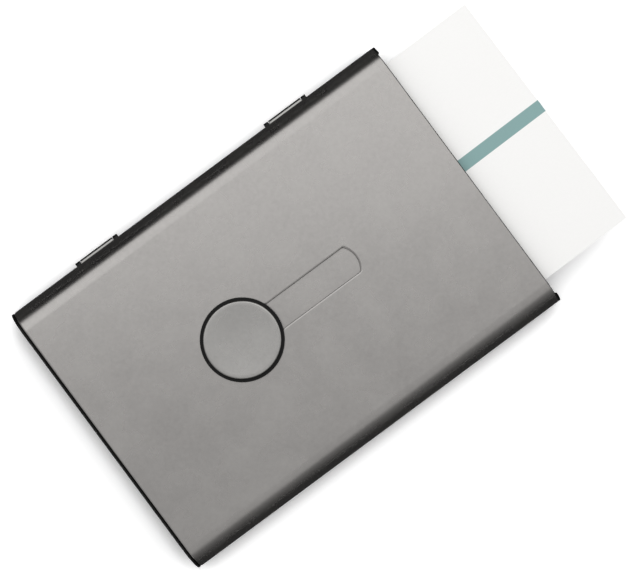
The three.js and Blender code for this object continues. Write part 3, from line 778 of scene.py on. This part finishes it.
def soften(piece, width, wanted):
    """Rounds the chosen edges by hand, with a wider radius than all the others get."""
    pick(piece, "edges", wanted)
    bpy.ops.mesh.bevel(offset=width, segments=SOFT_EDGE_STEPS, affect="EDGES")
    leave()


def add_cover(name, node, flat_side):
    """flat_side is 1 for a cover whose flat face is on top, and -1 for one whose flat face is below."""
    low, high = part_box(node)
    half_width = (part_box("front_cover")[1].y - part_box("front_cover")[0].y) / 2
    cover = add_block(name, (low.x, -half_width, low.z), (high.x, half_width, high.z))
    flat_z = high.z if flat_side > 0 else low.z
    pick(cover, "edges", lambda place, along: abs(along.x) > SAME_DIRECTION and near(place.z, flat_z))
    bpy.ops.mesh.bevel(offset=BEND_RADIUS, segments=BEND_STEPS, affect="EDGES", clamp_overlap=False)
    leave()
    pick(cover, "faces", lambda place, normal: (
        abs(normal.x) > SAME_DIRECTION or normal.z * flat_side < -SAME_DIRECTION
    ))
    bpy.ops.mesh.delete(type="FACE")
    leave()
    wall = cover.modifiers.new("wall", "SOLIDIFY")
    wall.thickness = SHEET
    wall.offset = -1
    wall.use_even_offset = True
    apply(cover, wall)

    def on_outside(place):
        beside = abs(place.y) - half_width + BEND_RADIUS
        above = (place.z - flat_z) * flat_side + BEND_RADIUS
        reach = math.hypot(max(beside, 0), max(above, 0))
        return reach > BEND_RADIUS - SHEET / 2

    for end, width in ((low.x, CLOSED_END_EDGE), (high.x, OPEN_END_EDGE)):
        soften(cover, width, lambda place, along: near(place.x, end) and on_outside(place))
    return cover


def cut_knuckle_room(cover, bottom, top):
    """Opens the hinge side's wall round both hinges, from one height to the other."""
    side = corners(cover)[1].y
    for node in ("rear_hinge_leaf_1", "rear_hinge_leaf_2"):
        low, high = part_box(node)
        room = add_block(
            "knuckle room",
            (low.x - KNUCKLE_CLEARANCE, side - SHEET - PAST, bottom),
            (high.x + KNUCKLE_CLEARANCE, side + PAST, top),
        )
        combine(cover, room, "DIFFERENCE")


hinge_line = middle_of("hinge_pin_1")
knuckle_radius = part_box("front_hinge_leaf_1")[1].y - hinge_line.y
print("hinge at", round(hinge_line.z / MM, 2), "mm, knuckle radius", round(knuckle_radius / MM, 2), "mm")

# %% [markdown]
# The front cover has the slot, which ends well inside the flat face, and four folded tabs that hold the black
# frame. The neck of the button stands near the rear end of the slot, and the slot is as far from the middle
# of the case at one end as at the other, so the neck's place gives the slot's length. The slot's rim slopes
# in, as a punched edge does, in a steep step and a shallow one: the side that leans towards the lamp shows
# as a thin light line, and the other side as a dark one. The last step of the cutter is drawn twice as far,
# so that it ends above the sheet.

# %% Front cover
SLOT_REST_GAP = 0.45 * MM
SLOT_SHIFT = -0.1 * MM
RIM_STEPS = ((0.08 * MM, 0.09 * MM), (0.25 * MM, 0.07 * MM))
RIM_REACH = (1, 2)
TAB_WIDTH = 5 * MM
TAB_REACH = 1.6 * MM
TAB_SPACING = 74 * MM

front_cover = add_cover("front_cover_sheet", "front_cover", 1)
cover_low, cover_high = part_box("front_cover")
slot_half_length = SLOT_REST_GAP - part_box("button_neck")[0].x
rim_z = cover_high.z - sum(depth for width, depth in RIM_STEPS)
slot_cutter = add_oblong(
    "slot cutter",
    Vector((-slot_half_length, SLOT_SHIFT - SLOT_WIDTH / 2, cover_high.z - SHEET - PAST)),
    Vector((slot_half_length, SLOT_SHIFT + SLOT_WIDTH / 2, rim_z)),
)
widened = 0
for (width, depth), times in zip(RIM_STEPS, RIM_REACH):
    pick(slot_cutter, "faces", lambda place, normal: (
        normal.z > SAME_DIRECTION and near(place.z, rim_z)
    ))
    bpy.ops.mesh.extrude_region_move(TRANSFORM_OT_translate={"value": (0, 0, times * depth)})
    longer = 1 + times * width / (slot_half_length + widened)
    wider = 1 + times * width / (SLOT_WIDTH / 2 + widened)
    bpy.ops.transform.resize(value=(longer, wider, 1), center_override=(0, SLOT_SHIFT, rim_z))
    leave()
    widened += width
    rim_z += depth
combine(front_cover, slot_cutter, "DIFFERENCE")
pick(front_cover, "edges", lambda place, along: (
    near(place.z, cover_high.z) and abs(place.y) < SLOT_WIDTH and abs(place.x) < slot_half_length + PAST
))
bpy.ops.mesh.mark_sharp()
leave()
for end in (-1, 1):
    for side in (-1, 1):
        root = side * (cover_high.y - SHEET / 2)
        tip = side * (cover_high.y - SHEET - TAB_REACH)
        middle = end * TAB_SPACING / 2
        tab = add_block(
            "tab",
            (middle - TAB_WIDTH / 2, min(root, tip), cover_low.z),
            (middle + TAB_WIDTH / 2, max(root, tip), cover_low.z + SHEET),
        )
        combine(front_cover, tab, "UNION")
cut_knuckle_room(front_cover, cover_low.z - PAST, hinge_line.z + knuckle_radius + KNUCKLE_CLEARANCE)
round_edges(front_cover)
finish(front_cover, "front_cover")

# %% [markdown]
# The back cover is the same rolled sheet, the other way up. Its free side has a shallow notch for a finger
# nail, cut by a large round bar, so that it fades out at both ends. Two rivets of the springs go through it.

# %% Back cover
NAIL_NOTCH_WIDTH = 12 * MM
NAIL_NOTCH_DEPTH = 0.9 * MM
NAIL_NOTCH_SIDES = 192
SPRING_RIVET_RADIUS = 0.8 * MM

back_cover = add_cover("back_cover_sheet", "back_cover", -1)
back_low, back_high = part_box("back_cover")
notch_radius = (NAIL_NOTCH_WIDTH ** 2 / 4 + NAIL_NOTCH_DEPTH ** 2) / (2 * NAIL_NOTCH_DEPTH)
nail_notch = add_round(
    "nail notch", notch_radius, (0, back_low.y, back_high.z + notch_radius - NAIL_NOTCH_DEPTH),
    2 * (SHEET + PAST), NAIL_NOTCH_SIDES, along="Y",
)
combine(back_cover, nail_notch, "DIFFERENCE")
cut_knuckle_room(back_cover, hinge_line.z - knuckle_radius - KNUCKLE_CLEARANCE, hinge_line.z)
drill(back_cover, ("spring_rivet_1", "spring_rivet_2"), SPRING_RIVET_RADIUS)
round_edges(back_cover)
finish(back_cover, "back_cover")

# %% [markdown]
# Round pieces are turned, as on a lathe. A single point is drawn out into half of the section, and that line
# is spun once round the upright axis. The profile is a short list of radius and height pairs.

# %% Helper: a turned piece
TURNED_SIDES = 144


def add_turned(name, profile, axis):
    deselect()
    start = Vector((axis.x + profile[0][0], axis.y, profile[0][1]))
    bpy.ops.mesh.primitive_plane_add(size=1 * MM, location=start)
    piece = settle(name)
    bpy.context.tool_settings.mesh_select_mode = (True, False, False)
    bpy.ops.object.mode_set(mode="EDIT")
    bpy.ops.mesh.select_all(action="SELECT")
    bpy.ops.mesh.merge(type="CENTER")
    for (radius, height), (next_radius, next_height) in zip(profile, profile[1:]):
        step = (next_radius - radius, 0, next_height - height)
        bpy.ops.mesh.extrude_vertices_move(TRANSFORM_OT_translate={"value": step})
    bpy.ops.mesh.select_all(action="SELECT")
    bpy.ops.mesh.spin(
        steps=TURNED_SIDES, angle=2 * math.pi, center=(axis.x, axis.y, 0), axis=(0, 0, 1),
    )
    bpy.ops.mesh.select_all(action="SELECT")
    bpy.ops.mesh.remove_doubles(threshold=WELD_DISTANCE)
    bpy.ops.mesh.dissolve_degenerate(threshold=WELD_DISTANCE / 10)
    bpy.ops.mesh.normals_make_consistent(inside=False)
    leave()
    return piece


def arc_points(centre, radius, start, end, steps):
    """Points of an arc in a profile, from one angle to another, in degrees."""
    angles = (math.radians(start + (end - start) * step / steps) for step in range(steps + 1))
    return [(centre[0] + radius * math.cos(a), centre[1] + radius * math.sin(a)) for a in angles]


print("turning helpers ready")

# %% [markdown]
# The base of the thumb button is a black plastic disc, a little wider than the metal disc on it, so it shows
# as a black ring. It is turned, with a small round edge above and below, and gets its two rivet holes
# afterwards.

# %% Button base
BUTTON_RIVETS = ("button_rivet_1", "button_rivet_2")
BUTTON_RIVET_RADIUS = 0.7 * MM
BASE_EDGE_RADIUS = 0.15 * MM
BASE_EDGE_STEPS = 4
BASE_FINE_EDGE = 0.02 * MM

base_low, base_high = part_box("button_base")
edge_centre = (base_high.x - base_low.x) / 2 - BASE_EDGE_RADIUS
base_profile = [
    (0, base_low.z),
    *arc_points((edge_centre, base_low.z + BASE_EDGE_RADIUS), BASE_EDGE_RADIUS, -90, 0, BASE_EDGE_STEPS),
    *arc_points((edge_centre, base_high.z - BASE_EDGE_RADIUS), BASE_EDGE_RADIUS, 0, 90, BASE_EDGE_STEPS),
    (0, base_high.z),
]
button_base = add_turned("button_base_moulded", base_profile, middle_of("button_base"))
drill(button_base, BUTTON_RIVETS, BUTTON_RIVET_RADIUS)
round_edges(button_base, BASE_FINE_EDGE)
finish(button_base, "button_base")

# %% [markdown]
# The metal disc is very slightly dished, as a shallow piece of a large sphere, and has a small round edge,
# which catches the light as a thin line. It is hollow below, where it covers the heads of the rivets.

# %% Button disc
DISC_EDGE_RADIUS = 0.3 * MM
DISC_EDGE_STEPS = 14
DISC_DISH_DEPTH = 0.15 * MM
DISC_DISH_STEPS = 12
DISC_RECESS_INSET = 1.6 * MM
DISC_RECESS_DEPTH = 0.3 * MM

disc_low, disc_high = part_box("button_disc")
disc_radius = (disc_high.x - disc_low.x) / 2
dish_radius = disc_radius - DISC_EDGE_RADIUS
recess_radius = disc_radius - DISC_RECESS_INSET
sphere_radius = (dish_radius ** 2 + DISC_DISH_DEPTH ** 2) / (2 * DISC_DISH_DEPTH)
dish_bottom = disc_high.z - DISC_DISH_DEPTH


def dish_height(radius):
    return dish_bottom + sphere_radius - math.sqrt(sphere_radius ** 2 - radius ** 2)


dish_rings = [dish_radius * step / DISC_DISH_STEPS for step in range(DISC_DISH_STEPS - 1, -1, -1)]
disc_profile = [
    (0, disc_low.z + DISC_RECESS_DEPTH),
    (recess_radius, disc_low.z + DISC_RECESS_DEPTH),
    (recess_radius, disc_low.z),
    (disc_radius, disc_low.z),
    *arc_points((dish_radius, disc_high.z - DISC_EDGE_RADIUS), DISC_EDGE_RADIUS, 0, 90, DISC_EDGE_STEPS),
    *[(ring, dish_height(ring)) for ring in dish_rings],
]
button_disc = add_turned("button_disc_pressed", disc_profile, middle_of("button_disc"))
take(button_disc)
bpy.ops.object.shade_smooth_by_angle(angle=SHARP_ANGLE)
finish(button_disc, "button_disc")

# %% [markdown]
# The neck of the button fills the slot from side to side, less its running gap. It is made as the slot's
# cutter was, from the same outline and as far to the side, so that one fits the other. It is a little
# shorter than in the CAD model, so that it stays clear of the slot's far end.

# %% Button neck
NECK_PLAY = 0.1 * MM
NECK_EDGE = 0.05 * MM

neck_low, neck_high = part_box("button_neck")
button_neck = add_oblong(
    "button_neck_moulded",
    neck_low + Vector((0, SLOT_SHIFT, 0)),
    neck_high + Vector((-NECK_PLAY, SLOT_SHIFT, 0)),
)
drill(button_neck, BUTTON_RIVETS, BUTTON_RIVET_RADIUS)
round_edges(button_neck, NECK_EDGE)
finish(button_neck, "button_neck")

# %% [markdown]
# The other pieces already have their right shape in the CAD model: the frame, the leaves of the hinges, the
# springs, the hook, the strip, the plate and the cards. What they lack is the small radius on every edge.
# So each gets a copy of its mesh, whose loose triangles are welded and whose flat faces are made whole again,
# and then its edges are rounded: more on moulded plastic, less on cut sheet, and very little on card. A face
# with windows in it can't be one whole face. So in the pierced pieces two triangles make a four-sided face,
# where their directions are less than a hundredth of a radian apart.

# %% Refined pieces
PIERCED_NODES = ("spring_plate", "rear_hinge_leaf_1", "rear_hinge_leaf_2")
FLAT_ENOUGH = math.radians(0.5)
FLAT_PAIR = 0.01
CARD_EDGE = 0.03 * MM
EDGE_WIDTHS = {
    "card_frame": 0.14 * MM,
    "slider_strip": 0.06 * MM,
    "pusher_hook": 0.05 * MM,
    "spring_plate": 0.06 * MM,
    "popped_card": CARD_EDGE,
    "next_card": CARD_EDGE,
}
PAIR_EDGE_WIDTHS = {
    "front_hinge_leaf": 0.06 * MM,
    "rear_hinge_leaf": 0.06 * MM,
    "hinge_pin": 0.06 * MM,
    "leaf_spring": 0.05 * MM,
    "spring_rivet": 0.1 * MM,
    "button_rivet": 0.06 * MM,
    "pusher_rivet": 0.06 * MM,
}


def add_refined(node, width):
    deselect()
    name = f"{node}_finished"
    piece = bpy.data.objects.new(name, frame["nodes"][node].data.copy())
    piece.data.name = name
    bpy.context.scene.collection.objects.link(piece)
    take(piece)
    bpy.ops.object.mode_set(mode="EDIT")
    bpy.ops.mesh.select_all(action="SELECT")
    bpy.ops.mesh.remove_doubles(threshold=WELD_DISTANCE)
    if node in PIERCED_NODES:
        bpy.ops.mesh.tris_convert_to_quads(face_threshold=FLAT_PAIR, shape_threshold=math.pi)
    else:
        bpy.ops.mesh.dissolve_limited(angle_limit=FLAT_ENOUGH)
    leave()
    bpy.ops.mesh.customdata_custom_splitnormals_clear()
    return round_edges(piece, width)


pairs = {f"{node}_{number}": width for number in (1, 2) for node, width in PAIR_EDGE_WIDTHS.items()}
stack = {f"stack_card_{number}": CARD_EDGE for number in (1, 2, 3, 4)}
refined = {}
for node, width in {**EDGE_WIDTHS, **pairs, **stack}.items():
    refined[node] = finish(add_refined(node, width), node)

# %% [markdown]
# The two leaf springs carry the plate, and flatten when it is pressed down. Here each spring only gets a
# mesh of its own, which no other object shares.

# %% Springs with meshes of their own
for node in ("leaf_spring_1", "leaf_spring_2"):
    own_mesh(refined[node])

# %% [markdown]
# Last, nothing is left selected.

# %% Finish
deselect()
